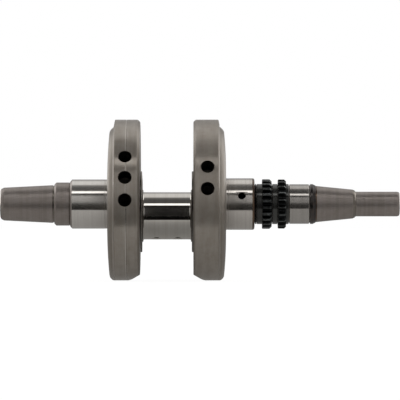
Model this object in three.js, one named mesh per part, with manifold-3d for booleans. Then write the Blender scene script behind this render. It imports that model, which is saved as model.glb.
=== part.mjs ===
// Crankshaft of a two-cylinder engine, with both connecting rods on one plain crankpin.
//
// Frame, in millimetres: the origin is on the main axis, half way between the two webs.
// +X runs along the shaft towards the flywheel end, and +Z is up.
// The pulley end is on the -X side, and "distance" below is measured from the middle plane.

import * as THREE from 'three';
import { mergeVertices } from 'three/addons/utils/BufferGeometryUtils.js';
import Module from 'manifold-3d';

const wasm = await Module();
wasm.setup();

// ---------------------------------------------------------------- driving dimensions

const CRANK_ANGLE = THREE.MathUtils.degToRad(19); // counterweights lean this far up from -Y
const PULLEY_SIDE = -1;
const FLYWHEEL_SIDE = 1;
const GAP = 0.3; // clearance drawn between pieces that touch

// crank throw
const THROW = 30.75; // half of a 61.5 mm stroke
const PIN_RADIUS = 20;
const PIN_FILLET = 1.3;
const CHEEK_RADIUS = 22;
const CHEEK_FACE = 20.15; // distance of the rod thrust faces from the middle plane
const CHEEK_ROOT = 39.2; // the boss behind each thrust face reaches this deep into the web

// webs
const WEB_INNER = 22.3;
const WEB_OUTER = 49.6;
const RIM_RADIUS = 67.3;
const RIM_OFFSET = 10.4; // the rim circle sits this far towards the counterweight
const RIM_CORNER = 43.2;
const RIM_FACE = 44.1;
const RIM_BEVEL = 4;
const PIN_SIDE_CHAMFER = 2.4;
// the raised disc on a web's outer face, as [distance, radius] from its edge to the thrust face
const DOME_PROFILE = [[44.2, 65], [47.4, 62.2], [48.1, 60.5], [49, 46], [49.6, 30]];
// cones that trim a web's inner edge: radius at the inner face, shift to the weight, half angle
const EDGE_CONE = { radius: 65.4, offset: RIM_OFFSET, angle: 45 };
const RELIEF_CONE = { radius: 66.6, offset: 23.4, angle: 29.7 };
const PAD_FACE = 20.9;
const PAD_MAIN_RADIUS = 27.5;
const PAD_PIN_RADIUS = 31.3;
const THRUST_GROOVE = { width: 1, depth: 0.6 }; // clears the journal's corner inside the thrust face

// oil system
const GALLERY_RADIUS = 4;
const PIN_PLUG_SEAT = { radius: 5.6, depth: 2.6 };
const PIN_PLUG = { radius: 5.3, length: 2.2, socket: 2.3, socketDepth: 1.4 };
const PIN_OUTLET = { distance: 9, angle: -85, radius: 2.5, sinkRadius: 4.2, sinkDepth: 1.8 };
const SLANT_RADIUS = 2;
const SLANT_INNER = { distance: 60.5, reach: -6 }; // reach is measured towards the crankpin
const SLANT_MOUTH = { distance: 28, reach: THROW + CHEEK_RADIUS };
const WEB_PLUG_SEAT = { radius: 3.5, depth: 5.5 };
const WEB_PLUG = { radius: 3.2, length: 3, inset: 2.2, socket: 1.5, socketDepth: 1.6 };
const JOURNAL_HOLE = { distance: 62.7, radius: 3.1, pastAxis: 7, sinkRadius: 3.9, sinkDepth: 0.9 };

// balance drillings
const BALANCE_HOLE = { distance: 34.05, radius: 5.3, depth: 19 };
// degrees below the middle of the counterweight, seen from the main axis
const BALANCE_ANGLES_PULLEY = [-11.5, 2.5, 16.5];
const BALANCE_ANGLES_FLYWHEEL = [-4.5, 9.5];

// shaft
const PULLEY_END = -139.7;
const PULLEY_JOURNAL_RADIUS = 20.65;
const FLYWHEEL_JOURNAL_RADIUS = 21.65;
const FLYWHEEL_END = 195.3;
const STUB_RADIUS = 10.35;
const SEAT_START = 73.5;
const SEAT_RADIUS = 15.2;
const SHAFT_ROOT = 45; // both shafts start this deep inside their webs
const FLYWHEEL_TAPER = { start: 125.7, end: 155.9, startRadius: 15.15, endRadius: 12.15 };
// outlines as [x, radius]: 1:10 taper, relief, seal collar, journal and its grinding relief
const PULLEY_PROFILE = [
  [PULLEY_END, 11.4],
  [-138.9, 12.7],
  [-136.6, 13.8],
  [-95.8, 15.85],
  [-95.4, 15.4],
  [-94.4, 15.4],
  [-94.4, 16.5],
  [-92.7, 18.1],
  [-81.9, 18.1],
  [-81.4, 17.7],
  [-80.9, 19.2],
  [-79.6, PULLEY_JOURNAL_RADIUS],
  [-51.6, PULLEY_JOURNAL_RADIUS],
  [-51.2, 20.4],
  [-SHAFT_ROOT, 20.4],
];
// grinding relief, journal with a rounded edge, seat of the pressed-on stack, 1:5 taper, stub
const FLYWHEEL_PROFILE = [
  [SHAFT_ROOT, 21.4],
  [51.2, 21.4],
  [51.6, FLYWHEEL_JOURNAL_RADIUS],
  [71.8, FLYWHEEL_JOURNAL_RADIUS],
  [73, 21.1],
  [SEAT_START, 19.8],
  [SEAT_START, SEAT_RADIUS],
  [125.4, SEAT_RADIUS],
  [FLYWHEEL_TAPER.start, FLYWHEEL_TAPER.startRadius],
  [FLYWHEEL_TAPER.end, FLYWHEEL_TAPER.endRadius],
  [157.3, 11.5],
  [158.8, STUB_RADIUS],
  [192.8, STUB_RADIUS],
  [194.6, 9.9],
  [FLYWHEEL_END, 9],
];
const PULLEY_BORE = { radius: 6.5, depth: 46, sinkRadius: 8.6 };
const LATHE_CENTRE = { radius: 2.5, depth: 9, sinkRadius: 4.6 };

// pieces pressed on the flywheel side
const STACK_BORE = SEAT_RADIUS + GAP;
const HUB_RADIUS = 16.85;
const RING_CHAMFER = 0.4;
const SEAT_RING = { start: SEAT_START + GAP, end: 74.9, radius: HUB_RADIUS };
const SPACER = { start: 88.5, end: 92.8, radius: HUB_RADIUS };
const RACE = { start: 102.7, end: 118.5, radius: 16.6 };
const COLLAR_PROFILE = [[118.8, 16.75], [122.5, 16.75], [124.4, 15.85]];
const TOOTH_TIP = 20.8;
const TOOTH_ROOT = 17.8;
const ROOT_RISE = 0.35;
// tipFlat and rootFlat are half widths in tooth pitches, phase is in degrees
const TIMING = {
  teeth: 23, start: 79.9, end: 87.9, hubStart: 75.2, hubEnd: 88.2,
  phase: 4, tipFlat: 0.2, rootFlat: 0.18, startChamfer: 0.4, endChamfer: 1.8,
};
const PUMP = {
  teeth: 20, start: 93.1, end: 99.9, hubStart: 93.1, hubEnd: 102.3,
  phase: 9.5, tipFlat: 0.1, rootFlat: 0.16, startChamfer: 0.6, endChamfer: 1.5,
};

// half-moon key in the flywheel taper
const KEY = { x: 141, radius: 6.5, width: 4, proud: 1.6 };

// facets around a full turn
const RIM_SIDES = 72;
const DOME_SIDES = 48;
const SHAFT_SIDES = 40;
const HOLE_SIDES = 16;
const DRILL_POINT_SLOPE = Math.tan(THREE.MathUtils.degToRad(59));

// ---------------------------------------------------------------- directions

const ALONG = new THREE.Vector3(1, 0, 0);
const TO_WEIGHT = new THREE.Vector3(0, -Math.cos(CRANK_ANGLE), Math.sin(CRANK_ANGLE));
const TO_PIN = TO_WEIGHT.clone().negate();
const ACROSS = ALONG.clone().cross(TO_PIN);

// A point given by its distance along the shaft and its reach from the main axis to the crankpin.
function crankPoint(x, reach) {
  return TO_PIN.clone().multiplyScalar(reach).setX(x);
}

// ---------------------------------------------------------------- solids

// Turns a closed three.js geometry into a solid that can be joined and cut.
function solidOf(geometry) {
  geometry.deleteAttribute('normal');
  geometry.deleteAttribute('uv');
  const merged = mergeVertices(geometry, 1e-4);
  const index = merged.index.array;
  const triangles = [];
  for (let i = 0; i < index.length; i += 3) {
    const [a, b, c] = [index[i], index[i + 1], index[i + 2]];
    if (a !== b && b !== c && c !== a) {
      triangles.push(a, b, c);
    }
  }
  const vertProperties = new Float32Array(merged.attributes.position.array);
  const triVerts = new Uint32Array(triangles);
  return new wasm.Manifold(new wasm.Mesh({ numProp: 3, vertProperties, triVerts }));
}

// Turns a solid back into a three.js geometry.
function geometryOf(solid) {
  const mesh = solid.getMesh();
  const geometry = new THREE.BufferGeometry();
  geometry.setAttribute('position', new THREE.BufferAttribute(new Float32Array(mesh.vertProperties), 3));
  geometry.setIndex(new THREE.BufferAttribute(new Uint32Array(mesh.triVerts), 1));
  geometry.computeVertexNormals();
  return geometry;
}

function join(...solids) {
  return solids.reduce((total, next) => total.add(next));
}

function cut(body, ...tools) {
  return tools.reduce((rest, tool) => rest.subtract(tool), body);
}

// A lathe geometry about X from [x, radius] points, ordered along +X.
function latheAlongX(points, sides) {
  const profile = points.map(([x, radius]) => new THREE.Vector2(radius, x));
  return new THREE.LatheGeometry(profile, sides).rotateZ(-Math.PI / 2);
}

// A solid turned about X, or about the parallel axis at a reach from the main axis to the crankpin.
function turned(points, sides = SHAFT_SIDES, reach = 0) {
  const ordered = points[0][0] < points.at(-1)[0] ? points : [...points].reverse();
  const closed = [[ordered[0][0], 0], ...ordered, [ordered.at(-1)[0], 0]];
  const centre = crankPoint(0, reach);
  return solidOf(latheAlongX(closed, sides).translate(centre.x, centre.y, centre.z));
}

// A turned ring about the main axis with a plain bore.
function turnedRing(points, bore, sides = SHAFT_SIDES) {
  const closed = [[points[0][0], bore], ...points, [points.at(-1)[0], bore], [points[0][0], bore]];
  return solidOf(latheAlongX(closed, sides));
}

// A turned shape on any axis: its points are [depth, radius], from a mouth into the material.
function boredFrom(mouth, direction, points, sides = HOLE_SIDES) {
  const closed = [[points[0][0], 0], ...points, [points.at(-1)[0], 0]];
  const turn = new THREE.Quaternion().setFromUnitVectors(ALONG, direction.clone().normalize());
  const geometry = latheAlongX(closed, sides).applyQuaternion(turn);
  return solidOf(geometry.translate(mouth.x, mouth.y, mouth.z));
}

// A drilled hole with a drill point, starting a little outside the surface.
function drilled(mouth, direction, radius, depth) {
  const lead = 3;
  const tip = radius / DRILL_POINT_SLOPE;
  const points = [[-lead, radius], [depth, radius], [depth + tip, 0]];
  return boredFrom(mouth, direction, points);
}

// A shape in the crank plane, drawn as (reach to the crankpin, across), extruded along X.
function plate(shape, start, end) {
  const geometry = new THREE.ExtrudeGeometry(shape, {
    depth: end - start,
    bevelEnabled: false,
    curveSegments: SHAFT_SIDES / 2,
  });
  const basis = new THREE.Matrix4().makeBasis(TO_PIN, ACROSS, ALONG).setPosition(start, 0, 0);
  return solidOf(geometry.applyMatrix4(basis));
}

// Points measured from the middle plane, placed on one side of it.
function onSide(side, points) {
  return points.map(([distance, radius]) => [side * distance, radius]);
}

// ---------------------------------------------------------------- webs

// The raised pad joining the main journal's circle to the crankpin's, between two tangents.
function padShape() {
  const tangent = Math.acos((PAD_MAIN_RADIUS - PAD_PIN_RADIUS) / THROW);
  const shape = new THREE.Shape();
  shape.absarc(THROW, 0, PAD_PIN_RADIUS, -tangent, tangent, false);
  shape.absarc(0, 0, PAD_MAIN_RADIUS, tangent, 2 * Math.PI - tangent, false);
  return shape;
}

// A cone that trims the inner edge: wider away from the middle plane, off centre to the weight.
function trimmingCone(side, { radius, offset, angle }) {
  const slope = Math.tan(THREE.MathUtils.degToRad(angle));
  const start = WEB_INNER - 3;
  const end = WEB_OUTER + 1;
  const points = [[start, radius - (WEB_INNER - start) * slope], [end, radius + (end - WEB_INNER) * slope]];
  return turned(onSide(side, points), RIM_SIDES, -offset);
}

function balanceHole(side, degrees) {
  const direction = TO_WEIGHT.clone().applyAxisAngle(ALONG, THREE.MathUtils.degToRad(degrees));
  const reach = RIM_RADIUS + RIM_OFFSET;
  const mouth = direction.clone().multiplyScalar(reach).setX(side * BALANCE_HOLE.distance);
  return drilled(mouth, direction.negate(), BALANCE_HOLE.radius, BALANCE_HOLE.depth);
}

// The ring sunk into a web's outer face around its journal. The shaft fills the middle again.
function thrustGroove(side, journalRadius) {
  const radius = journalRadius + THRUST_GROOVE.width;
  return turned(onSide(side, [[WEB_OUTER - THRUST_GROOVE.depth, radius], [WEB_OUTER + 1, radius]]));
}

function web(side, journalRadius, balanceAngles) {
  const rim = turned(
    onSide(side, [
      [WEB_INNER, RIM_RADIUS],
      [RIM_CORNER, RIM_RADIUS],
      [RIM_FACE, RIM_RADIUS - RIM_BEVEL],
    ]),
    RIM_SIDES,
    -RIM_OFFSET,
  );
  const dome = turned(onSide(side, [[WEB_INNER, DOME_PROFILE[0][1]], ...DOME_PROFILE]), DOME_SIDES);
  const envelope = turned(
    onSide(side, [
      [WEB_INNER, RIM_RADIUS],
      [WEB_OUTER - PIN_SIDE_CHAMFER, RIM_RADIUS],
      [WEB_OUTER + 1, RIM_RADIUS - PIN_SIDE_CHAMFER - 1],
    ]),
    RIM_SIDES,
    -RIM_OFFSET,
  );
  const padEnds = [side * PAD_FACE, side * (WEB_INNER + 1)].sort((a, b) => a - b);
  const pad = plate(padShape(), padEnds[0], padEnds[1]);
  const body = join(rim, dome.intersect(envelope), pad)
    .intersect(trimmingCone(side, EDGE_CONE))
    .intersect(trimmingCone(side, RELIEF_CONE));
  const holes = balanceAngles.map((degrees) => balanceHole(side, degrees));
  return cut(body, thrustGroove(side, journalRadius), ...holes);
}

// ---------------------------------------------------------------- crankpin and oil system

// The pin, its fillets, and the thrust faces beside the rods, each on a boss rooted in its web.
function crankpin() {
  const right = [
    [CHEEK_FACE - PIN_FILLET, PIN_RADIUS],
    [CHEEK_FACE, PIN_RADIUS + PIN_FILLET],
    [CHEEK_FACE, CHEEK_RADIUS],
    [CHEEK_ROOT, CHEEK_RADIUS],
  ];
  const left = onSide(PULLEY_SIDE, right).reverse();
  return turned([...left, ...right], SHAFT_SIDES, THROW);
}

// The direction of a crankpin oil outlet, seen from the crankpin's own axis.
function outletDirection() {
  return TO_PIN.clone().applyAxisAngle(ALONG, THREE.MathUtils.degToRad(PIN_OUTLET.angle));
}

function pinOutlet(side) {
  const direction = outletDirection();
  const centre = crankPoint(side * PIN_OUTLET.distance, THROW);
  const mouth = centre.clone().addScaledVector(direction, PIN_RADIUS);
  return boredFrom(mouth, direction.negate(), [
    [-1, PIN_OUTLET.sinkRadius + 1],
    [PIN_OUTLET.sinkDepth, PIN_OUTLET.radius],
    [PIN_RADIUS - 1, PIN_OUTLET.radius],
  ]);
}

function pinGallery() {
  return turned([[-WEB_OUTER - 1, GALLERY_RADIUS], [WEB_OUTER + 1, GALLERY_RADIUS]], HOLE_SIDES, THROW);
}

function pinPlugSeat(side) {
  const points = [
    [WEB_OUTER - PIN_PLUG_SEAT.depth, PIN_PLUG_SEAT.radius],
    [WEB_OUTER + 1, PIN_PLUG_SEAT.radius],
  ];
  return turned(onSide(side, points), HOLE_SIDES, THROW);
}

// The slanted drilling runs from the boss's back through the crankpin's bore to the journal.
function slantMouth(side) {
  return crankPoint(side * SLANT_MOUTH.distance, SLANT_MOUTH.reach);
}

function slantPath(side) {
  return crankPoint(side * SLANT_INNER.distance, SLANT_INNER.reach).sub(slantMouth(side));
}

function slantedGallery(side) {
  const path = slantPath(side);
  return boredFrom(slantMouth(side), path, [
    [-WEB_PLUG_SEAT.radius, WEB_PLUG_SEAT.radius],
    [WEB_PLUG_SEAT.depth, WEB_PLUG_SEAT.radius],
    [WEB_PLUG_SEAT.depth, SLANT_RADIUS],
    [path.length(), SLANT_RADIUS],
  ]);
}

// A cross drilling in a main journal, from one side of it to just past the axis.
function journalHole(side, outward, journalRadius) {
  const mouth = outward.clone().multiplyScalar(journalRadius).setX(side * JOURNAL_HOLE.distance);
  return boredFrom(mouth, outward.clone().negate(), [
    [-1, JOURNAL_HOLE.sinkRadius + 1],
    [JOURNAL_HOLE.sinkDepth, JOURNAL_HOLE.radius],
    [journalRadius + JOURNAL_HOLE.pastAxis, JOURNAL_HOLE.radius],
  ]);
}

function endBore(x, direction, bore) {
  const mouth = new THREE.Vector3(x, 0, 0);
  const sinkDepth = (bore.sinkRadius - bore.radius) / Math.tan(THREE.MathUtils.degToRad(30));
  return boredFrom(mouth, direction, [
    [-1, bore.sinkRadius],
    [0, bore.sinkRadius],
    [sinkDepth, bore.radius],
    [bore.depth, bore.radius],
    [bore.depth + bore.radius / DRILL_POINT_SLOPE, 0],
  ]);
}

// ---------------------------------------------------------------- half-moon key

function taperRadiusAt(x) {
  const { start, end, startRadius, endRadius } = FLYWHEEL_TAPER;
  return startRadius + ((x - start) / (end - start)) * (endRadius - startRadius);
}

// A half disc standing in the crank plane, with its flat side outwards.
function halfMoon(radius, width, top) {
  const centre = taperRadiusAt(KEY.x);
  const flat = Math.asin((top - centre) / radius);
  const shape = new THREE.Shape();
  shape.absarc(0, 0, radius, Math.PI - flat, 2 * Math.PI + flat, false);
  const geometry = new THREE.ExtrudeGeometry(shape, {
    depth: width,
    bevelEnabled: false,
    curveSegments: HOLE_SIDES,
  });
  const place = crankPoint(KEY.x, centre).addScaledVector(ACROSS, -width / 2);
  const basis = new THREE.Matrix4().makeBasis(ALONG, TO_PIN, ACROSS).setPosition(place);
  return solidOf(geometry.applyMatrix4(basis));
}

function keyTop() {
  return taperRadiusAt(KEY.x) + KEY.proud;
}

// ---------------------------------------------------------------- forging

function forging() {
  const sides = [PULLEY_SIDE, FLYWHEEL_SIDE];
  const body = join(
    web(PULLEY_SIDE, PULLEY_JOURNAL_RADIUS, BALANCE_ANGLES_PULLEY),
    web(FLYWHEEL_SIDE, FLYWHEEL_JOURNAL_RADIUS, BALANCE_ANGLES_FLYWHEEL),
    crankpin(),
    turned(PULLEY_PROFILE),
    turned(FLYWHEEL_PROFILE),
  );
  return cut(
    body,
    pinGallery(),
    ...sides.map(pinPlugSeat),
    ...sides.map(pinOutlet),
    ...sides.map(slantedGallery),
    journalHole(PULLEY_SIDE, TO_PIN, PULLEY_JOURNAL_RADIUS),
    journalHole(FLYWHEEL_SIDE, TO_WEIGHT, FLYWHEEL_JOURNAL_RADIUS),
    endBore(PULLEY_END, ALONG, PULLEY_BORE),
    endBore(FLYWHEEL_END, ALONG.clone().negate(), LATHE_CENTRE),
    halfMoon(KEY.radius + GAP, KEY.width + 2 * GAP, keyTop() + 1),
  );
}

// ---------------------------------------------------------------- sprockets and sleeves

// One tooth after another: a flat tip, straight flanks and a hollow root for each.
function toothedShape({ teeth, phase, tipFlat, rootFlat }) {
  const pitch = (2 * Math.PI) / teeth;
  const start = THREE.MathUtils.degToRad(phase);
  const steps = [
    [-tipFlat, TOOTH_TIP],
    [tipFlat, TOOTH_TIP],
    [0.5 - rootFlat, TOOTH_ROOT + ROOT_RISE],
    [0.5, TOOTH_ROOT],
    [0.5 + rootFlat, TOOTH_ROOT + ROOT_RISE],
  ];
  const points = [];
  for (let tooth = 0; tooth < teeth; tooth += 1) {
    for (const [fraction, radius] of steps) {
      const angle = start + (tooth + fraction) * pitch;
      points.push(new THREE.Vector2(Math.cos(angle) * radius, Math.sin(angle) * radius));
    }
  }
  return new THREE.Shape(points);
}

// A ring of teeth with chamfered tips on a hub, bored for the seat.
function sprocket(spec) {
  const { start, end, hubStart, hubEnd, startChamfer, endChamfer } = spec;
  const teeth = plate(toothedShape(spec), start, end);
  const edge = turned([
    [start, TOOTH_TIP - startChamfer],
    [start + startChamfer, TOOTH_TIP + 0.1],
    [end - endChamfer, TOOTH_TIP + 0.1],
    [end, TOOTH_TIP - endChamfer],
  ]);
  const hub = turned([
    [hubStart, HUB_RADIUS - RING_CHAMFER],
    [hubStart + RING_CHAMFER, HUB_RADIUS],
    [hubEnd - RING_CHAMFER, HUB_RADIUS],
    [hubEnd, HUB_RADIUS - RING_CHAMFER],
  ]);
  const bore = turned([[hubStart - 1, STACK_BORE], [hubEnd + 1, STACK_BORE]]);
  return cut(join(teeth.intersect(edge), hub), bore);
}

function sleeve({ start, end, radius }) {
  const points = [
    [start, radius - RING_CHAMFER],
    [start + RING_CHAMFER, radius],
    [end - RING_CHAMFER, radius],
    [end, radius - RING_CHAMFER],
  ];
  return turnedRing(points, STACK_BORE);
}

// ---------------------------------------------------------------- plugs

function hexSocket(radius) {
  return new THREE.CylinderGeometry(radius, radius, 1, 6).rotateZ(-Math.PI / 2);
}

// A headless screw plug whose axis runs into the material from its outer face.
function screwPlug(mouth, direction, spec) {
  const body = boredFrom(mouth, direction, [
    [0, spec.radius - RING_CHAMFER],
    [RING_CHAMFER, spec.radius],
    [spec.length, spec.radius],
  ]);
  const lead = 1;
  const turn = new THREE.Quaternion().setFromUnitVectors(ALONG, direction.clone().normalize());
  const socket = hexSocket(spec.socket)
    .scale(spec.socketDepth + lead, 1, 1)
    .translate((spec.socketDepth - lead) / 2, 0, 0)
    .applyQuaternion(turn)
    .translate(mouth.x, mouth.y, mouth.z);
  return cut(body, solidOf(socket));
}

function crankpinPlug(side) {
  return screwPlug(crankPoint(side * WEB_OUTER, THROW), ALONG.clone().multiplyScalar(-side), PIN_PLUG);
}

function webGalleryPlug(side) {
  const direction = slantPath(side).normalize();
  const mouth = slantMouth(side).addScaledVector(direction, WEB_PLUG.inset);
  return screwPlug(mouth, direction, WEB_PLUG);
}

// ---------------------------------------------------------------- finishes

function metal(color, roughness, metalness) {
  return new THREE.MeshStandardMaterial({ color, roughness, metalness });
}

const FORGED_STEEL = () => metal(0x6f6a64, 0.42, 0.9);
const BLACK_OXIDE = () => metal(0x1b1d1e, 0.45, 0.7);
const GROUND_STEEL = () => metal(0xb5b2ad, 0.15, 1);
const TINTED_STEEL = () => metal(0x4a3b31, 0.4, 0.8);
const PLUG_STEEL = () => metal(0x8c8a86, 0.35, 0.9);

// ---------------------------------------------------------------- assembly

const group = new THREE.Group();

function addPiece(name, solid, material) {
  const mesh = new THREE.Mesh(geometryOf(solid), material);
  mesh.name = name;
  group.add(mesh);
}

addPiece('crankshaft_forging', forging(), FORGED_STEEL());
addPiece('seat_ring', sleeve(SEAT_RING), BLACK_OXIDE());
addPiece('timing_sprocket', sprocket(TIMING), BLACK_OXIDE());
addPiece('sprocket_spacer', sleeve(SPACER), BLACK_OXIDE());
addPiece('pump_sprocket', sprocket(PUMP), BLACK_OXIDE());
addPiece('starter_bearing_race', sleeve(RACE), GROUND_STEEL());
addPiece('shrink_collar', turnedRing(COLLAR_PROFILE, STACK_BORE), TINTED_STEEL());
addPiece('flywheel_key', halfMoon(KEY.radius, KEY.width, keyTop()), PLUG_STEEL());
addPiece('crankpin_plug_left', crankpinPlug(PULLEY_SIDE), PLUG_STEEL());
addPiece('crankpin_plug_right', crankpinPlug(FLYWHEEL_SIDE), PLUG_STEEL());
addPiece('web_gallery_plug_left', webGalleryPlug(PULLEY_SIDE), PLUG_STEEL());
addPiece('web_gallery_plug_right', webGalleryPlug(FLYWHEEL_SIDE), PLUG_STEEL());

export default group;
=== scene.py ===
"""The looks of a two-cylinder engine's crankshaft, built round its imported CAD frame.

The shaft runs along X, from the pulley end at -X to the flywheel end at +X. Sizes are in
millimetres and are turned into metres where a mesh is made. "Reach" is measured from the main
axis towards the crankpin, and "distance" from the middle plane between the webs.
"""

import math

import bmesh
import bpy
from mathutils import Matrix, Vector


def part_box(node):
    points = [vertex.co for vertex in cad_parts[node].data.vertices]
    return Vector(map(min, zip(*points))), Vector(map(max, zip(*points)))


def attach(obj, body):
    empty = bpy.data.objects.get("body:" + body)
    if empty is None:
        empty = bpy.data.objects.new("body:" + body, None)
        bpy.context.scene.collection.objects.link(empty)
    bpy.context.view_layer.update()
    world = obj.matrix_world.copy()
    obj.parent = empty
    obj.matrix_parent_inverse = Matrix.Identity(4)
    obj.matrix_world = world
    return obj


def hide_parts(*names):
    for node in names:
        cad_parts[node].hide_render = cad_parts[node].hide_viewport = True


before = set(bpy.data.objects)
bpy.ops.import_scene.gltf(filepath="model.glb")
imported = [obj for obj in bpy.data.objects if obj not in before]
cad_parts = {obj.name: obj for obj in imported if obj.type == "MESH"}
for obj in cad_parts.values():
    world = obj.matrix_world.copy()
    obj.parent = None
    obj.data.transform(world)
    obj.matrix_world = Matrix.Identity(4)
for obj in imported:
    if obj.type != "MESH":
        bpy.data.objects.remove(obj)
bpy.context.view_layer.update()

MM = 0.001
PULLEY_SIDE = -1
FLYWHEEL_SIDE = 1
SIDES = (PULLEY_SIDE, FLYWHEEL_SIDE)

# ---------------------------------------------------------------- camera

SHOT_DISTANCE = 3.36
SHOT_WIDTH = 0.336
SHOT_CENTRE = Vector((0.0278, 0, 0.0034))
SENSOR = 36.0


def add_camera():
    """A long lens, level with the shaft, looking along +Y."""
    data = bpy.data.cameras.new("camera")
    data.sensor_width = SENSOR
    data.lens = SENSOR * SHOT_DISTANCE / SHOT_WIDTH
    data.clip_end = 50
    camera = bpy.data.objects.new("camera", data)
    camera.location = SHOT_CENTRE - Vector((0, SHOT_DISTANCE, 0))
    camera.rotation_euler = (math.pi / 2, 0, 0)
    bpy.context.scene.collection.objects.link(camera)
    bpy.context.scene.camera = camera


add_camera()

# ---------------------------------------------------------------- sizes

CRANK_ANGLE = math.radians(19)
THROW = 30.75
PIN_RADIUS = 20
PIN_FILLET = 1.3
CHEEK_RADIUS = 22
CHEEK_FACE = 20.15
CHEEK_ROOT = 39.2

WEB_INNER = 22.3
WEB_OUTER = 49.6
RIM_RADIUS = 67.3
RIM_OFFSET = 10.4
RIM_FACE = 44.1
RIM_CORNER = 43.2
RIM_BEVEL = 4
RIM_EDGE = 0.4
PIN_SIDE_CHAMFER = 2.4
PAD_FACE = 20.9
PAD_MAIN_RADIUS = 27.5
PAD_PIN_RADIUS = 31.3
PAD_EDGE = 0.4
DOME_RADII = (30, 36, 42, 48, 54, 59.6)
DOME_DROP = 1.5
DOME_EDGE = ((60.9, 47.9), (62.2, 47.2), (64.6, 44.9), (65, 44.1))
EDGE_CONE = (65.4, RIM_OFFSET, 45)
RELIEF_CONE = (66.6, 23.4, 29.7)
THRUST_GROOVE = (1, 0.6)
SCRIBED_LINE = (33.4, 0.5, 0.24)

JOURNAL_RADIUS = {PULLEY_SIDE: 20.65, FLYWHEEL_SIDE: 21.65}
SHAFT_ROOT = 45
SEAT_START = 73.5
PULLEY_END = -139.7
FLYWHEEL_END = 195.3
STUB_RADIUS = 10.35
SEAT_RADIUS = 15.2
TAPER_START = 125.7
STUB_START = 158.8

BALANCE_HOLE = (34.05, 5.5, 19)
BALANCE_ANGLES = {PULLEY_SIDE: (11.5, -2.5, -16.5), FLYWHEEL_SIDE: (4.5, -9.5)}
JOURNAL_HOLE = (62.7, 3.1)
PIN_OUTLET = (9, -85, 2.5)
GALLERY_RADIUS = 4
PIN_PLUG_SEAT = (5.6, 2.6)
SLANT_INNER = (60.5, -6)
SLANT_MOUTH = (28, THROW + CHEEK_RADIUS)
SLANT_SEAT = (3.5, 5.5)

WEB_SIDES = 288
SHAFT_SIDES = 192
HOLE_SIDES = 64

TO_WEIGHT = Vector((0, -math.cos(CRANK_ANGLE), math.sin(CRANK_ANGLE)))
TO_PIN = -TO_WEIGHT
ACROSS = Vector((1, 0, 0)).cross(TO_PIN)
ALONG = Vector((1, 0, 0))


def crank_point(x, reach, across=0.0):
    """A point in millimetres, at a reach from the main axis towards the crankpin."""
    point = TO_PIN * reach + ACROSS * across
    return Vector((x, point.y, point.z))


# ---------------------------------------------------------------- mesh making


def object_from(name, points, faces):
    """A clean closed mesh from points in millimetres."""
    mesh = bpy.data.meshes.new(name)
    mesh.from_pydata([tuple(p * MM for p in point) for point in points], [], faces)
    work = bmesh.new()
    work.from_mesh(mesh)
    bmesh.ops.remove_doubles(work, verts=work.verts, dist=1e-6)
    bmesh.ops.recalc_face_normals(work, faces=work.faces)
    work.to_mesh(mesh)
    work.free()
    piece = bpy.data.objects.new(name, mesh)
    bpy.context.scene.collection.objects.link(piece)
    return piece


def eased(outline, steps=4):
    """Rounds an outline's corners. A point may carry a rounding radius as its third number."""
    rounded = []
    for i, point in enumerate(outline):
        here = Vector(point[:2])
        if len(point) < 3 or i in (0, len(outline) - 1):
            rounded.append(here)
            continue
        before = Vector(outline[i - 1][:2]) - here
        after = Vector(outline[i + 1][:2]) - here
        reach = point[2] / max(math.tan(before.angle(after) / 2), 0.05)
        start = here + before.normalized() * min(reach, before.length * 0.49)
        end = here + after.normalized() * min(reach, after.length * 0.49)
        for step in range(steps + 1):
            t = step / steps
            rounded.append(start * (1 - t) ** 2 + here * 2 * t * (1 - t) + end * t * t)
    return [(p.x, p.y) for p in rounded]


def lofted(name, rows, ring=False):
    """Joins rows of equally many points into a closed skin, capped at both ends unless a ring."""
    count = len(rows[0])
    points = [point for row in rows for point in row]
    faces = []
    for r in range(len(rows) if ring else len(rows) - 1):
        this, after = r * count, (r + 1) % len(rows) * count
        for i in range(count):
            j = (i + 1) % count
            faces.append((this + i, this + j, after + j, after + i))
    if not ring:
        faces.append(tuple(range(count - 1, -1, -1)))
        faces.append(tuple((len(rows) - 1) * count + i for i in range(count)))
    return object_from(name, points, faces)


def turned(name, outline, sides=SHAFT_SIDES, reach=0.0, ring=False):
    """A piece turned about the main axis, or about the parallel axis at a reach."""
    centre = crank_point(0, reach)
    rows = []
    for x, radius in eased(outline):
        row = []
        for i in range(sides):
            angle = 2 * math.pi * i / sides
            row.append(centre + Vector((x, radius * math.sin(angle), radius * math.cos(angle))))
        rows.append(row)
    return lofted(name, rows, ring)


def bored(mouth, direction, outline, sides=HOLE_SIDES, name="cutter"):
    """A turned shape on any axis: outline points are (depth, radius) from its mouth inwards."""
    direction = direction.normalized()
    side = direction.orthogonal().normalized()
    other = direction.cross(side)
    rows = []
    for depth, radius in eased(outline):
        row = []
        for i in range(sides):
            angle = 2 * math.pi * i / sides
            spoke = side * math.cos(angle) + other * math.sin(angle)
            row.append(mouth + direction * depth + spoke * radius)
        rows.append(row)
    return lofted(name, rows)


def on_side(side, outline):
    """Outline points measured from the middle plane, placed on one side of it."""
    return [(side * point[0], *point[1:]) for point in outline]


def combine(target, operation, *tools):
    """Joins tools to the target or cuts them from it, one after another, and removes them."""
    for tool in tools:
        modifier = target.modifiers.new("combine", "BOOLEAN")
        modifier.operation = operation
        modifier.solver = "MANIFOLD"
        modifier.object = tool
        graph = bpy.context.evaluated_depsgraph_get()
        made = bpy.data.meshes.new_from_object(target.evaluated_get(graph))
        target.modifiers.clear()
        target.data = made
        bpy.data.objects.remove(tool)
    return target


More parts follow.
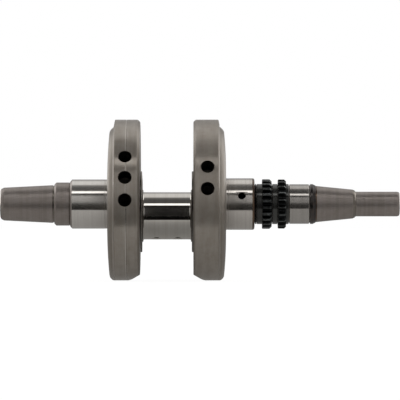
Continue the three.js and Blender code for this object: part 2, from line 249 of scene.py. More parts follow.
def dress(piece, node, slot, *materials, sharp=28):
    """Smooth shading up to an angle, even normals, the finish, and the piece's place in the frame."""
    if materials:
        piece.data.materials.clear()
    for material in materials:
        piece.data.materials.append(material)
    piece.data.shade_smooth()
    piece.data.set_sharp_from_angle(angle=math.radians(sharp))
    even = piece.modifiers.new("even_normals", "WEIGHTED_NORMAL")
    even.keep_sharp = True
    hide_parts(node)
    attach(piece, "root")
    return piece


# ---------------------------------------------------------------- webs


def ray_to_circle(angle, offset, radius):
    """Distance along a ray to a circle whose centre is shifted to the weight, angle 0."""
    across = offset * math.sin(angle)
    return offset * math.cos(angle) + math.sqrt(radius * radius - across * across)


def shifted_distance(rho, angle, offset):
    """Distance from a point, given round the rim's centre, to a centre shifted to the weight."""
    return math.hypot(rho * math.cos(angle) - offset, rho * math.sin(angle))


def cone_rise(rho, angle, cone):
    """How far a trimming cone lifts the inner face at a point round the rim's centre."""
    radius, offset, half_angle = cone
    over = shifted_distance(rho, angle, offset - RIM_OFFSET) - radius
    return over / math.tan(math.radians(half_angle))


def inner_face(rho, angle):
    rises = (cone_rise(rho, angle, EDGE_CONE), cone_rise(rho, angle, RELIEF_CONE), 0)
    return WEB_INNER + max(rises)


def cones_meet(angle):
    """Where the two trimming cones cross along a ray, or the rim if they don't."""
    low, high = RIM_RADIUS * 0.6, RIM_RADIUS
    steeper = cone_rise(high, angle, RELIEF_CONE) - cone_rise(high, angle, EDGE_CONE)
    start = cone_rise(low, angle, RELIEF_CONE) - cone_rise(low, angle, EDGE_CONE)
    if steeper * start > 0:
        return RIM_RADIUS
    for _ in range(24):
        middle = (low + high) / 2
        gap = cone_rise(middle, angle, RELIEF_CONE) - cone_rise(middle, angle, EDGE_CONE)
        if gap * start > 0:
            low = middle
        else:
            high = middle
    return low


def dome_profile():
    """The outer face as (radius about the main axis, distance), from the thrust face out."""
    first, last = DOME_RADII[0], DOME_RADII[-1]
    profile = []
    for radius in DOME_RADII:
        share = (radius - first) / (last - first)
        profile.append((radius, WEB_OUTER - DOME_DROP * share * share))
    return profile + list(DOME_EDGE)


def outer_face(rho, angle):
    profile = dome_profile()
    radius = shifted_distance(rho, angle, -RIM_OFFSET)
    if radius <= profile[0][0]:
        height = WEB_OUTER
    elif radius >= profile[-1][0]:
        share = max(0, (rho - RIM_RADIUS + RIM_BEVEL) / RIM_BEVEL)
        height = RIM_FACE - share * (RIM_FACE - RIM_CORNER)
    else:
        upper = next(i for i, (r, _) in enumerate(profile) if r >= radius)
        (r0, x0), (r1, x1) = profile[upper - 1], profile[upper]
        height = x0 + (x1 - x0) * (radius - r0) / (r1 - r0)
    return min(height, WEB_OUTER - PIN_SIDE_CHAMFER + RIM_RADIUS - rho)


def rim_rows(side, start, end):
    """Rows across the rim, with a scribed line through the hole centres on the pulley side."""
    line, half, depth = SCRIBED_LINE
    depth = depth if side == PULLEY_SIDE else 0
    rows = [(start, 0), (26, 0), (28.6, 0), (line - half, 0), (line, depth), (line + half, 0)]
    rows += [(40.8, 0), (42.4, 0), (end, 0)]
    return [(min(max(x, start), end), sink if start < x < end else 0) for x, sink in rows]


def web(side):
    """One web: a skin swept round the rim's centre, with breaks where its surfaces meet."""
    hub = 6
    rim = RIM_RADIUS - RIM_EDGE
    columns = []
    for i in range(WEB_SIDES):
        angle = 2 * math.pi * i / WEB_SIDES
        edges = [ray_to_circle(angle, c[1] - RIM_OFFSET, c[0]) for c in (EDGE_CONE, RELIEF_CONE)]
        creases = [r + d for r in (*edges, cones_meet(angle)) for d in (-0.2, 0.15)]
        inner = sorted(min(r, rim) for r in creases)
        outer = [ray_to_circle(angle, -RIM_OFFSET, r) for r, _ in dome_profile()]
        outer += [RIM_RADIUS - RIM_BEVEL, RIM_RADIUS - PIN_SIDE_CHAMFER]
        outer = sorted((min(r, rim) for r in outer), reverse=True)
        column = [(inner_face(r, angle), r) for r in (hub, *inner, rim)]
        start = inner_face(RIM_RADIUS, angle) + RIM_EDGE
        end = outer_face(RIM_RADIUS, angle) - RIM_EDGE
        column += [(x, RIM_RADIUS - sink) for x, sink in rim_rows(side, start, end)]
        column += [(outer_face(r, angle), r) for r in (rim, *outer, hub)]
        direction = TO_WEIGHT * math.cos(angle) + ACROSS * math.sin(angle)
        centre = TO_WEIGHT * RIM_OFFSET
        columns.append([Vector((side * x, 0, 0)) + centre + direction * r for x, r in column])
    return lofted("web", [list(row) for row in zip(*columns)])


def pad(side):
    """The raised pad between the main journal's circle and the crankpin's."""
    tangent = math.acos((PAD_MAIN_RADIUS - PAD_PIN_RADIUS) / THROW)
    arc = 72
    rows = []
    for distance, shrink in ((PAD_FACE, PAD_EDGE), (PAD_FACE + PAD_EDGE, 0), (WEB_INNER + 2, 0)):
        row = []
        for centre, radius, start, end in (
            (THROW, PAD_PIN_RADIUS, -tangent, tangent),
            (0, PAD_MAIN_RADIUS, tangent, 2 * math.pi - tangent),
        ):
            for i in range(arc + 1):
                angle = start + (end - start) * i / arc
                r = radius - shrink
                row.append(crank_point(side * distance, centre + r * math.cos(angle), r * math.sin(angle)))
        rows.append(row)
    radius, offset, half_angle = RELIEF_CONE
    slope = math.tan(math.radians(half_angle))
    inside = radius - 0.05
    cone = [(WEB_INNER - 4, inside - 4 * slope), (WEB_INNER + 4, inside + 4 * slope)]
    trim = turned("cone", on_side(side, cone), WEB_SIDES, -offset)
    return combine(lofted("pad", rows), "INTERSECT", trim)


# ---------------------------------------------------------------- crankpin, shafts and drillings


def crankpin():
    right = [
        (CHEEK_FACE - PIN_FILLET - 0.9, PIN_RADIUS),
        (CHEEK_FACE, PIN_RADIUS, PIN_FILLET),
        (CHEEK_FACE, CHEEK_RADIUS, 0.3),
        (CHEEK_ROOT, CHEEK_RADIUS),
    ]
    outlet = PIN_OUTLET[0]
    rings = [(x, PIN_RADIUS) for x in (-outlet - 5, -outlet + 5, outlet - 5, outlet + 5)]
    left = on_side(PULLEY_SIDE, right)[::-1]
    return turned("crankpin", [*left, *rings, *right], SHAFT_SIDES, THROW)


def pulley_shaft():
    radius = JOURNAL_RADIUS[PULLEY_SIDE]
    return turned("pulley_shaft", [
        (PULLEY_END, 9.4),
        (PULLEY_END, 11.3, 0.4),
        (-138.9, 12.7, 0.8),
        (-136.6, 13.8, 1.6),
        (-95.6, 15.85, 0.2),
        (-95.4, 15.4, 0.1),
        (-94.5, 15.4, 0.2),
        (-94.3, 16.6, 0.2),
        (-92.7, 18.1, 0.4),
        (-82, 18.1, 0.3),
        (-81.5, 17.7, 0.2),
        (-81, 18.9, 0.2),
        (-79.5, radius, 0.3),
        (-51.9, radius, 0.1),
        (-51.6, radius - 0.05, 0.1),
        (-49.9, radius - 0.05, 0.3),
        (-49.4, radius + 0.5),
        (-SHAFT_ROOT, radius + 0.5),
    ])


def flywheel_shaft():
    radius = JOURNAL_RADIUS[FLYWHEEL_SIDE]
    hole = JOURNAL_HOLE[0]
    return turned("flywheel_shaft", [
        (SHAFT_ROOT, radius + 0.5),
        (49.4, radius + 0.5),
        (49.9, radius - 0.05, 0.3),
        (51.4, radius - 0.05, 0.1),
        (51.7, radius, 0.1),
        (hole - 5, radius),
        (hole + 5, radius),
        (SEAT_START, radius, 1.9),
        (SEAT_START, SEAT_RADIUS, 0.1),
        (124.6, SEAT_RADIUS),
        (TAPER_START, 15.15, 0.3),
        (155.9, 12.15, 1.2),
        (157.4, 11.5, 0.6),
        (158.4, 10.5, 0.3),
        (STUB_START, STUB_RADIUS, 0.3),
        (193.2, STUB_RADIUS, 1.0),
        (194.7, 9.9, 0.6),
        (FLYWHEEL_END, 8.9, 0.3),
        (FLYWHEEL_END, 6),
    ])


def flared(radius, depth, chamfer, tip=0.0):
    """A hole's outline, with a chamfered mouth and a drill point of the given length."""
    outline = [(-1.5, radius + chamfer + 1.5), (chamfer, radius), (depth, radius)]
    if tip:
        outline.append((depth + tip, 0.01))
    return outline


def balance_hole(side, degrees):
    distance, radius, depth = BALANCE_HOLE
    lean = math.radians(degrees)
    outward = TO_WEIGHT * math.cos(lean) + ACROSS * math.sin(lean)
    mouth = outward * ray_to_circle(lean, RIM_OFFSET, RIM_RADIUS) + ALONG * side * distance
    return bored(mouth, -outward, flared(radius, depth, 0.35, 3.2))


def journal_hole(side, outward):
    distance, radius = JOURNAL_HOLE
    mouth = outward * JOURNAL_RADIUS[side] + ALONG * side * distance
    return bored(mouth, -outward, flared(radius, JOURNAL_RADIUS[side] + 7, 0.35))


def outlet_direction():
    turn = math.radians(PIN_OUTLET[1])
    return TO_PIN * math.cos(turn) + ACROSS * math.sin(turn)


def pin_outlet(side):
    distance, _, radius = PIN_OUTLET
    mouth = crank_point(side * distance, THROW) + outlet_direction() * PIN_RADIUS
    outline = [(-1.5, 6.2), (0, 4.6, 1.2), (1.7, radius, 0.8), (PIN_RADIUS - 1, radius)]
    return bored(mouth, -outlet_direction(), outline)


def slant(side):
    """Mouth and direction of the slanted oil drilling of one web."""
    mouth = crank_point(side * SLANT_MOUTH[0], SLANT_MOUTH[1])
    return mouth, crank_point(side * SLANT_INNER[0], SLANT_INNER[1]) - mouth


def slanted_drilling(side):
    mouth, path = slant(side)
    radius, depth = SLANT_SEAT
    return bored(mouth, path, [(-radius, radius), (depth, radius), (depth, 2), (path.length, 2)])


def threaded_bore():
    """The pulley bolt's bore: a 60 degree lathe centre, a relief and a thread."""
    start, core, crest, pitch, turns = 5.5, 5.9, 6.7, 1.5, 22
    outline = [(-1, 8.7), (0.1, 8.7, 0.1), (3.4, 6.9), (start, 6.9)]
    for turn in range(turns):
        depth = start + turn * pitch
        outline += [(depth + 0.15, crest), (depth + 0.75, core), (depth + 0.9, core)]
    outline += [(46, core), (49, 0.01)]
    return bored(crank_point(PULLEY_END, 0), ALONG, outline)


def lathe_centre():
    outline = [(-1, 4.7), (0.1, 4.7, 0.1), (3.7, 2.5), (9, 2.5), (10.4, 0.01)]
    return bored(crank_point(FLYWHEEL_END, 0), -ALONG, outline)


def pin_plug_seats():
    radius, depth = PIN_PLUG_SEAT
    for side in SIDES:
        ends = on_side(side, [(WEB_OUTER - depth, radius), (WEB_OUTER + 0.6, radius + 0.6)])
        yield turned("cutter", ends, HOLE_SIDES, THROW)


def hardness_dimple():
    """A shallow ball print on the stub, left by a hardness test."""
    lean = math.radians(22)
    outward = Vector((0, -math.cos(lean), math.sin(lean)))
    ball, depth = 2.2, 0.5
    centre = outward * (STUB_RADIUS + ball - depth) + ALONG * 164.7
    steps = 10
    outline = []
    for i in range(1, steps):
        angle = math.pi * i / steps
        outline.append((-ball * math.cos(angle), ball * math.sin(angle)))
    return bored(centre, -outward, outline, 32)


def key_outline(radius, top, x, surface):
    """A half-moon in the crank plane, as (x, reach) points, flat on its outer side."""
    lift = math.asin((top - surface) / radius)
    steps = 40
    points = []
    for i in range(steps + 1):
        angle = math.pi - lift + (math.pi + 2 * lift) * i / steps
        points.append((x + radius * math.cos(angle), surface + radius * math.sin(angle)))
    return points


# the key's middle along the shaft, the taper's radius there and the key's flat top
KEY_MIDDLE = 141
KEY_SURFACE = 13.63
KEY_TOP = 15.23


def half_moon(name, radius, width, top, edge):
    steps = ((-width / 2, edge), (edge - width / 2, 0), (width / 2 - edge, 0), (width / 2, edge))
    rows = []
    for across, shrink in steps:
        outline = key_outline(radius - shrink, top - shrink, KEY_MIDDLE, KEY_SURFACE)
        rows.append([crank_point(px, reach, across) for px, reach in outline])
    return lofted(name, rows)


# ---------------------------------------------------------------- finishes


def node(tree, kind, inputs=None, **settings):
    """A shader node, with its settings, its fixed values and its links."""
    made = tree.nodes.new(kind)
    for key, value in settings.items():
        setattr(made, key, value)
    for key, value in (inputs or {}).items():
        if isinstance(value, bpy.types.NodeSocket):
            tree.links.new(value, made.inputs[key])
        else:
            made.inputs[key].default_value = value
    return made


def maths(tree, operation, a, b=0.0):
    return node(tree, "ShaderNodeMath", {0: a, 1: b}, operation=operation).outputs[0]


def vector(tree, operation, a, b=(0, 0, 0)):
    return node(tree, "ShaderNodeVectorMath", {0: a, 1: b}, operation=operation).outputs[0]


def remap(tree, value, low, high, start=0.3, end=0.7):
    inputs = {"Value": value, "From Min": start, "From Max": end, "To Min": low, "To Max": high}
    return node(tree, "ShaderNodeMapRange", inputs, clamp=True).outputs[0]


def noise(tree, where, scale, detail=2.0, roughness=0.5):
    inputs = {"Vector": where, "Scale": scale, "Detail": detail, "Roughness": roughness}
    return node(tree, "ShaderNodeTexNoise", inputs).outputs["Fac"]


def mix(tree, share, a, b, blend="MIX"):
    made = node(tree, "ShaderNodeMix", {"Factor": share}, data_type="RGBA", blend_type=blend)
    for index, value in ((6, a), (7, b)):
        if isinstance(value, bpy.types.NodeSocket):
            tree.links.new(value, made.inputs[index])
        else:
            made.inputs[index].default_value = (*value, 1)
    return made.outputs[2]


def metal(name, light, dark, roughness, marks=900.0, groove=0.25, grain=0.1, stretch=0.0,
          reach=0.0, stain=None, stain_share=0.0, wear=None, metallic=1.0):
    """Machined steel. Tool marks run round the axis at the given reach, so they change only
    along the shaft and outwards; grain and stains vary everywhere; wear brightens the edges."""
    material = bpy.data.materials.new(name)
    material.use_nodes = True
    tree = material.node_tree
    tree.nodes.clear()
    where = node(tree, "ShaderNodeTexCoord").outputs["Object"]
    surface = node(tree, "ShaderNodeNewGeometry")
    centre = crank_point(0, reach) * MM
    spoke = vector(tree, "MULTIPLY", vector(tree, "SUBTRACT", where, centre), (0, 1, 1))
    around = vector(tree, "CROSS_PRODUCT", (1, 0, 0), spoke)
    across_marks = vector(tree, "CROSS_PRODUCT", around, surface.outputs["Normal"])
    radius = node(tree, "ShaderNodeVectorMath", {0: spoke}, operation="LENGTH").outputs["Value"]
    along = node(tree, "ShaderNodeSeparateXYZ", {0: where}).outputs[0]
    ring = node(tree, "ShaderNodeCombineXYZ", {0: along, 1: radius}).outputs[0]
    tool_marks = noise(tree, ring, marks, 8, 0.7)
    bands = noise(tree, ring, marks * 0.22, 3, 0.6)
    blotches = noise(tree, where, 55, 5, 0.6)
    fine = noise(tree, where, 4200, 3, 0.6)
    tone = maths(tree, "ADD", maths(tree, "MULTIPLY", bands, 0.6), maths(tree, "MULTIPLY", blotches, 0.4))
    colour = mix(tree, remap(tree, tone, 0, 1, 0.35, 0.65), dark, light)
    if stain:
        share = remap(tree, noise(tree, where, 130, 6, 0.7), 0, stain_share, 0.45, 0.75)
        colour = mix(tree, share, colour, stain)
    worn = None
    if wear:
        edge = remap(tree, surface.outputs["Pointiness"], 0, 1, 0.53, 0.62)
        worn = maths(tree, "MULTIPLY", edge, remap(tree, noise(tree, where, 600, 4), 0.25, 1, 0.35, 0.6))
        colour = mix(tree, worn, colour, wear)
    mark_share = maths(tree, "MULTIPLY", tool_marks, 0.6)
    gloss = maths(tree, "ADD", mark_share, maths(tree, "MULTIPLY", blotches, 0.4))
    mark_height = maths(tree, "MULTIPLY", tool_marks, groove)
    height = maths(tree, "ADD", mark_height, maths(tree, "MULTIPLY", fine, grain))
    bump = node(tree, "ShaderNodeBump", {"Height": height, "Strength": 0.5, "Distance": 0.00005})
    shader = node(tree, "ShaderNodeBsdfPrincipled", {
        "Base Color": colour,
        "Metallic": metallic,
        "Roughness": remap(tree, gloss, roughness * 0.82, roughness * 1.2, 0.35, 0.65),
        "Anisotropic": stretch,
        "Normal": bump.outputs[0],
    })
    if stretch:
        tree.links.new(across_marks, shader.inputs["Tangent"])
    node(tree, "ShaderNodeOutputMaterial", {"Surface": shader.outputs[0]})
    return material


FINISH = {
    "web": metal("turned_web", (0.385, 0.352, 0.317), (0.30, 0.27, 0.235), 0.33, 1100, 0.35, 0.25, 1.0,
                 stain=(0.22, 0.17, 0.13), stain_share=0.35, metallic=0.55),
    "dull_web": metal("dull_web", (0.40, 0.365, 0.328), (0.313, 0.281, 0.244), 0.42, 1100, 0.35, 0.2, 1.0,
                      stain=(0.22, 0.17, 0.13), stain_share=0.35, metallic=0.5),
    "face": metal("turned_face", (0.27, 0.243, 0.214), (0.205, 0.184, 0.158), 0.42, 1400, 0.5, 0.2, 0.8,
                  stain=(0.18, 0.14, 0.11), stain_share=0.3, metallic=0.6),
    "journal": metal("ground_journal", (0.68, 0.66, 0.63), (0.60, 0.575, 0.545), 0.22, 2600,
                     0.06, 0.02, 1.0),
    # a darker copy of the journal finish, used on the flywheel side
    "darker_journal": metal("darker_journal", (0.64, 0.61, 0.575), (0.545, 0.515, 0.485), 0.23, 2600,
                          0.06, 0.02, 1.0),
    "pin": metal("ground_pin", (0.62, 0.60, 0.565), (0.545, 0.52, 0.48), 0.09, 2600, 0.05, 0.02, 1.0,
                 reach=THROW),
    "taper": metal("satin_taper", (0.32, 0.286, 0.268), (0.245, 0.217, 0.2), 0.44, 1600, 0.4, 0.3, 0.5,
                   stain=(0.15, 0.12, 0.095), stain_share=0.3, metallic=0.8),
    # drilled walls: a rough steel, its darker colour partly painted shade inside the holes
    "drilled": metal("drilled_wall_partly_painted_shade", (0.14, 0.13, 0.12), (0.06, 0.055, 0.05), 0.35, 1500, 0.8, 0.3, 0.0),
    "black": metal("black_oxide", (0.07, 0.07, 0.067), (0.044, 0.045, 0.044), 0.22, 1800, 0.12, 0.1, 0.8,
                   metallic=0.6),
    "teeth": metal("black_oxide_teeth", (0.022, 0.023, 0.024), (0.009, 0.01, 0.011), 0.34, 1800, 0.15, 0.4,
                   wear=(0.17, 0.18, 0.18)),
    # the side walls of the pads and cheeks between the webs: a dark finish as painted shade
    "pad_edge_painted_shade": metal("pad_edge_painted_shade", (0.13, 0.118, 0.107), (0.07, 0.064, 0.058), 0.25, 1500, 0.3, 0.2),
    # a light finish as painted highlight: on the scribed line's outer half and on the race's chamfers
    "scribed": metal("light_steel_painted_highlight", (0.66, 0.63, 0.59), (0.52, 0.49, 0.45), 0.4, 900, 0.3, 0.3),
    # a dark finish as painted shade, for grooves, steps, end chamfers and the scribed line's inner half
    "edge": metal("dark_edge_painted_shade", (0.26, 0.235, 0.21), (0.17, 0.15, 0.13), 0.27, 1500, 0.3, 0.2),
    "collar": metal("blued_collar", (0.075, 0.07, 0.068), (0.035, 0.034, 0.036), 0.3, 1500, 0.25, 0.2, 0.6,
                    stain=(0.13, 0.085, 0.06), stain_share=0.4),
    "race": metal("ground_race", (0.42, 0.40, 0.38), (0.35, 0.33, 0.31), 0.23, 2600, 0.06, 0.02, 1.0),
    "tinted": metal("heat_tinted", (0.13, 0.097, 0.077), (0.075, 0.058, 0.048), 0.34, 1500, 0.3, 0.3, 0.5,
                    stain=(0.25, 0.15, 0.08), stain_share=0.5),
    "plug": metal("plug_steel", (0.42, 0.40, 0.38), (0.32, 0.30, 0.28), 0.28, 1200, 0.3, 0.2, 0.0,
                  wear=(0.6, 0.6, 0.58)),
}

# ---------------------------------------------------------------- forging

ZONES = ("web", "dull_web", "face", "journal", "darker_journal", "pin", "taper", "drilled",
         "edge", "pad_edge_painted_shade", "scribed", "tinted")
# stretches along the shaft, as (start, end), at grooves, steps and end chamfers, painted darker as shade
PAINTED_SHADE_STRETCHES = (
    (PULLEY_END + 0.3, -138.3),
    (-95.5, -94.2),
    (-81.6, -80.4),
    (155.8, STUB_START),
    (194, FLYWHEEL_END - 0.3),
)
TINTED_STRETCHES = ((72, SEAT_START + 0.5), (124, 127))
SHAFT_REACH = 22.3  # beyond the webs, faces nearer the axis than this belong to the shaft
PULLEY_JOURNAL_REACH = 79.6  # how far from the origin the pulley side's journal is ground
HOLES = []


def remember_hole(mouth, direction, radius, depth):
    HOLES.append((mouth, direction.normalized(), radius, depth))


def in_a_hole(point):
    """Whether a face's middle lies on the wall or floor of a drilling."""
    for mouth, direction, radius, depth in HOLES:
        along = (point - mouth).dot(direction)
        away = (point - mouth - direction * along).length
        if 0.05 < along < depth and away < radius + 0.02:
            return True
    return False


def zone_of(point, normal):
    """The finish of a face from where its middle lies, in millimetres."""
    radius = math.hypot(point.y, point.z)
    pin_radius = (point - crank_point(point.x, THROW)).length
    distance = abs(point.x)
    if in_a_hole(point):
        return "drilled"
    if distance < CHEEK_FACE:
        return "pin"
    # the pad and cheek side walls between the webs take a dark finish as painted shade
    if distance < WEB_INNER - 0.05 and abs(normal.x) < 0.45:
        return "pad_edge_painted_shade"
    # the scribed line's outer half is painted light as a highlight, and its inner half dark as shade
    line, half, _ = SCRIBED_LINE
    if abs(point.x + line) < half - 0.05 and abs(normal.x) < 0.6:
        return "scribed" if point.x < -line else "edge"
    # grooves, steps and end chamfers are painted darker as shade
    if any(start < point.x < end for start, end in PAINTED_SHADE_STRETCHES):
        return "edge"
    if any(start < point.x < end for start, end in TINTED_STRETCHES):
        return "tinted"
    if distance > WEB_OUTER - 0.01 and radius < SHAFT_REACH:
        side = math.copysign(1, point.x)
        ground = PULLEY_JOURNAL_REACH if side < 0 else SEAT_START
        if distance > ground or abs(normal.x) > 0.5:
            return "taper"
        # the flywheel side's journal gets the darker copy
        return "journal" if side < 0 else "darker_journal"
    if distance < WEB_INNER + 0.1 and pin_radius < CHEEK_RADIUS:
        return "face"
    if distance > WEB_OUTER + 0.05:
        return "taper"
    if abs(normal.x) > 0.45:
        return "face"
    return "web" if point.x < 0 else "dull_web"


def paint(piece):
    """Gives each face of the forging the finish of its zone."""
    piece.data.materials.clear()
    for zone in ZONES:
        piece.data.materials.append(FINISH[zone])
    for polygon in piece.data.polygons:
        zone = zone_of(Vector(polygon.center) / MM, Vector(polygon.normal))
        polygon.material_index = ZONES.index(zone)


def note_holes():
    distance, radius, depth = BALANCE_HOLE
    for side in SIDES:
        for degrees in BALANCE_ANGLES[side]:
            lean = math.radians(degrees)
            outward = TO_WEIGHT * math.cos(lean) + ACROSS * math.sin(lean)
            mouth = outward * ray_to_circle(lean, RIM_OFFSET, RIM_RADIUS) + ALONG * side * distance
            remember_hole(mouth, -outward, radius, depth + 4)
        outlet = crank_point(side * PIN_OUTLET[0], THROW) + outlet_direction() * PIN_RADIUS
        remember_hole(outlet, -outlet_direction(), 3.4, PIN_RADIUS)
        mouth, path = slant(side)
        remember_hole(mouth, path, SLANT_SEAT[0], path.length)
    for side, outward in ((PULLEY_SIDE, TO_PIN), (FLYWHEEL_SIDE, TO_WEIGHT)):
        mouth = outward * JOURNAL_RADIUS[side] + ALONG * side * JOURNAL_HOLE[0]
        remember_hole(mouth, -outward, JOURNAL_HOLE[1], 30)
    remember_hole(crank_point(-WEB_OUTER, THROW), ALONG, PIN_PLUG_SEAT[0], 2 * WEB_OUTER)
    remember_hole(crank_point(-136.5, 0), ALONG, 7, 50)
    remember_hole(crank_point(191.5, 0), -ALONG, 2.6, 9)


def forging():
    parts = [web(FLYWHEEL_SIDE), pad(PULLEY_SIDE), pad(FLYWHEEL_SIDE), crankpin()]
    body = combine(web(PULLEY_SIDE), "UNION", *parts)
    combine(body, "DIFFERENCE", *(thrust_groove(side) for side in SIDES))
    combine(body, "UNION", pulley_shaft(), flywheel_shaft())
    gallery = [(-WEB_OUTER - 1, GALLERY_RADIUS), (WEB_OUTER + 1, GALLERY_RADIUS)]
    cutters = [turned("cutter", gallery, HOLE_SIDES, THROW), *pin_plug_seats()]
    for side in SIDES:
        cutters += [balance_hole(side, degrees) for degrees in BALANCE_ANGLES[side]]
        cutters += [pin_outlet(side), slanted_drilling(side)]
    cutters += [journal_hole(PULLEY_SIDE, TO_PIN), journal_hole(FLYWHEEL_SIDE, TO_WEIGHT)]
    cutters += [threaded_bore(), lathe_centre(), hardness_dimple()]
    cutters.append(half_moon("cutter", 6.6, 4.05, KEY_TOP + 2, 0.01))
    combine(body, "DIFFERENCE", *cutters)
    body.name = "crankshaft"
    note_holes()
    paint(body)
    return dress(body, "crankshaft_forging", "forged_steel")


# ---------------------------------------------------------------- sprockets and sleeves

STACK_BORE = SEAT_RADIUS + 0.03
TOOTH_TIP = 20.8
TOOTH_ROOT = 17.8
RACE_OVERLAP = 1.3
HUB_RADIUS = 16.85


def span(node_name):
    """Where a CAD node starts and ends along the shaft, in millimetres."""
    low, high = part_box(node_name)
    return low.x / MM, high.x / MM


def sleeve(name, radius, edge, start_edge=None, longer=0.0):
    start, end = span(name)
    end += longer
    outline = [
        (start, STACK_BORE + 0.1),
        (start, radius - (start_edge or edge)),
        (start + (start_edge or edge), radius, 0.1),
        (end - edge, radius, 0.1),
        (end, radius - edge),
        (end, STACK_BORE + 0.1),
        (end - 0.2, STACK_BORE),
        (start + 0.2, STACK_BORE),
    ]
    return turned(name + "_look", outline, ring=True)


def tooth_outline(teeth, phase, tip, flank, root_curve):
    """A sprocket's edge as (angle, radius): eased tips, and roots hollowed by an arc formula."""
    pitch = 2 * math.pi / teeth
    start = math.radians(phase)
    points = []
    for tooth in range(teeth):
        middle = start + tooth * pitch
        for share in (-tip, -tip * 0.82, 0, tip * 0.82, tip):
            ease = 0.22 if abs(share) == tip else 0
            points.append((middle + share * pitch, TOOTH_TIP - ease))
        steps = 8
        for i in range(1, steps):
            share = tip + flank + (1 - 2 * tip - 2 * flank) * i / steps
            hollow = math.sin(math.pi * i / steps) ** root_curve
            points.append((middle + share * pitch, TOOTH_ROOT + 1.1 * (1 - hollow)))
    return points


def toothed_disc(start, end, chamfers, **shape):
    """Teeth with chamfered flanks and tips, as one lofted skin."""
    outline = tooth_outline(**shape)
    depth = TOOTH_TIP - TOOTH_ROOT
    rows = []
    first, last = chamfers
    for x, drop in ((start, first), (start + first, 0), (end - last, 0), (end, last)):
        row = []
        for angle, radius in outline:
            r = radius - drop * max(0, radius - TOOTH_ROOT) / depth
            row.append(crank_point(x, r * math.cos(angle), r * math.sin(angle)))
        rows.append(row)
    return lofted("teeth", rows)


def sprocket(name, teeth_start, teeth_end, chamfers, **shape):
    start, end = span(name)
    hub = turned("hub", [
        (start, HUB_RADIUS - 0.5),
        (start + 0.5, HUB_RADIUS, 0.1),
        (end - 0.5, HUB_RADIUS, 0.1),
        (end, HUB_RADIUS - 0.5),
    ])
    bore = turned("bore", [(start - 1, STACK_BORE), (end + 1, STACK_BORE)])
    piece = combine(toothed_disc(teeth_start, teeth_end, chamfers, **shape), "UNION", hub)
    combine(piece, "DIFFERENCE", bore)
    piece.name = name + "_look"
    piece.data.materials.clear()
    piece.data.materials.append(FINISH["teeth"])
    piece.data.materials.append(FINISH["black"])
    for polygon in piece.data.polygons:
        radius = math.hypot(polygon.center[1], polygon.center[2]) / MM
        polygon.material_index = 1 if radius < HUB_RADIUS + 0.1 and abs(polygon.normal[0]) < 0.9 else 0
    return dress(piece, name, "black_oxide", sharp=35)


def thrust_groove(side):
    """The ring sunk into a web's outer face around its journal."""
    width, depth = THRUST_GROOVE
    radius = JOURNAL_RADIUS[side] + width
    floor = WEB_OUTER - depth
    outline = [
        (floor, radius - 0.2),
        (floor + 0.2, radius),
        (WEB_OUTER - 0.2, radius),
        (WEB_OUTER + 0.8, radius + 1),
    ]
    return turned("cutter", on_side(side, outline))


RACE_RADIUS = 16.6
COLLAR_RADIUS = 16.75
COLLAR_STEP = 122.3  # where the collar's rounded end begins


def race():
    """The ground race, its chamfers given a light finish as painted highlight."""
    piece = sleeve("starter_bearing_race", RACE_RADIUS, 0.9, 0.4, RACE_OVERLAP)
    dress(piece, "starter_bearing_race", "ground_steel", FINISH["race"], FINISH["scribed"])
    for polygon in piece.data.polygons:
        # faces turned towards the ends, the chamfers, take the light finish as painted highlight
        polygon.material_index = int(abs(polygon.normal[0]) > 0.4)


def shrink_collar():
    start, end = span("shrink_collar")
    start += RACE_OVERLAP
    outline = [
        (start, STACK_BORE),
        (start, 16.4),
        (start + 0.35, COLLAR_RADIUS, 0.1),
        (COLLAR_STEP, COLLAR_RADIUS, 0.2),
        (COLLAR_STEP + 0.3, 16.6, 0.1),
        (end + 0.3, 15.6, 0.2),
        (end + 0.3, STACK_BORE),
    ]
    return turned("shrink_collar_look", outline, ring=True)


# ---------------------------------------------------------------- plugs


def screw_plug(name, mouth, direction, radius, length, socket, socket_depth):
    outline = [(0, 0.01), (0, radius - 0.35), (0.35, radius, 0.1), (length, radius)]
    body = bored(mouth, direction, outline, name=name + "_look")
    cutter = bored(mouth, direction, [(-1, socket), (socket_depth, socket)], sides=6)
    combine(body, "DIFFERENCE", cutter)
    return dress(body, name, "plug_steel", FINISH["plug"])


def plugs():
    for side, word in ((PULLEY_SIDE, "left"), (FLYWHEEL_SIDE, "right")):
        face = crank_point(side * WEB_OUTER, THROW)
        screw_plug("crankpin_plug_" + word, face, -ALONG * side, 5.55, 2.3, 2.6, 1.4)
        mouth, path = slant(side)
        inset = mouth + path.normalized() * 2.2
        screw_plug("web_gallery_plug_" + word, inset, path, 3.45, 3, 1.7, 1.6)


# ---------------------------------------------------------------- stage


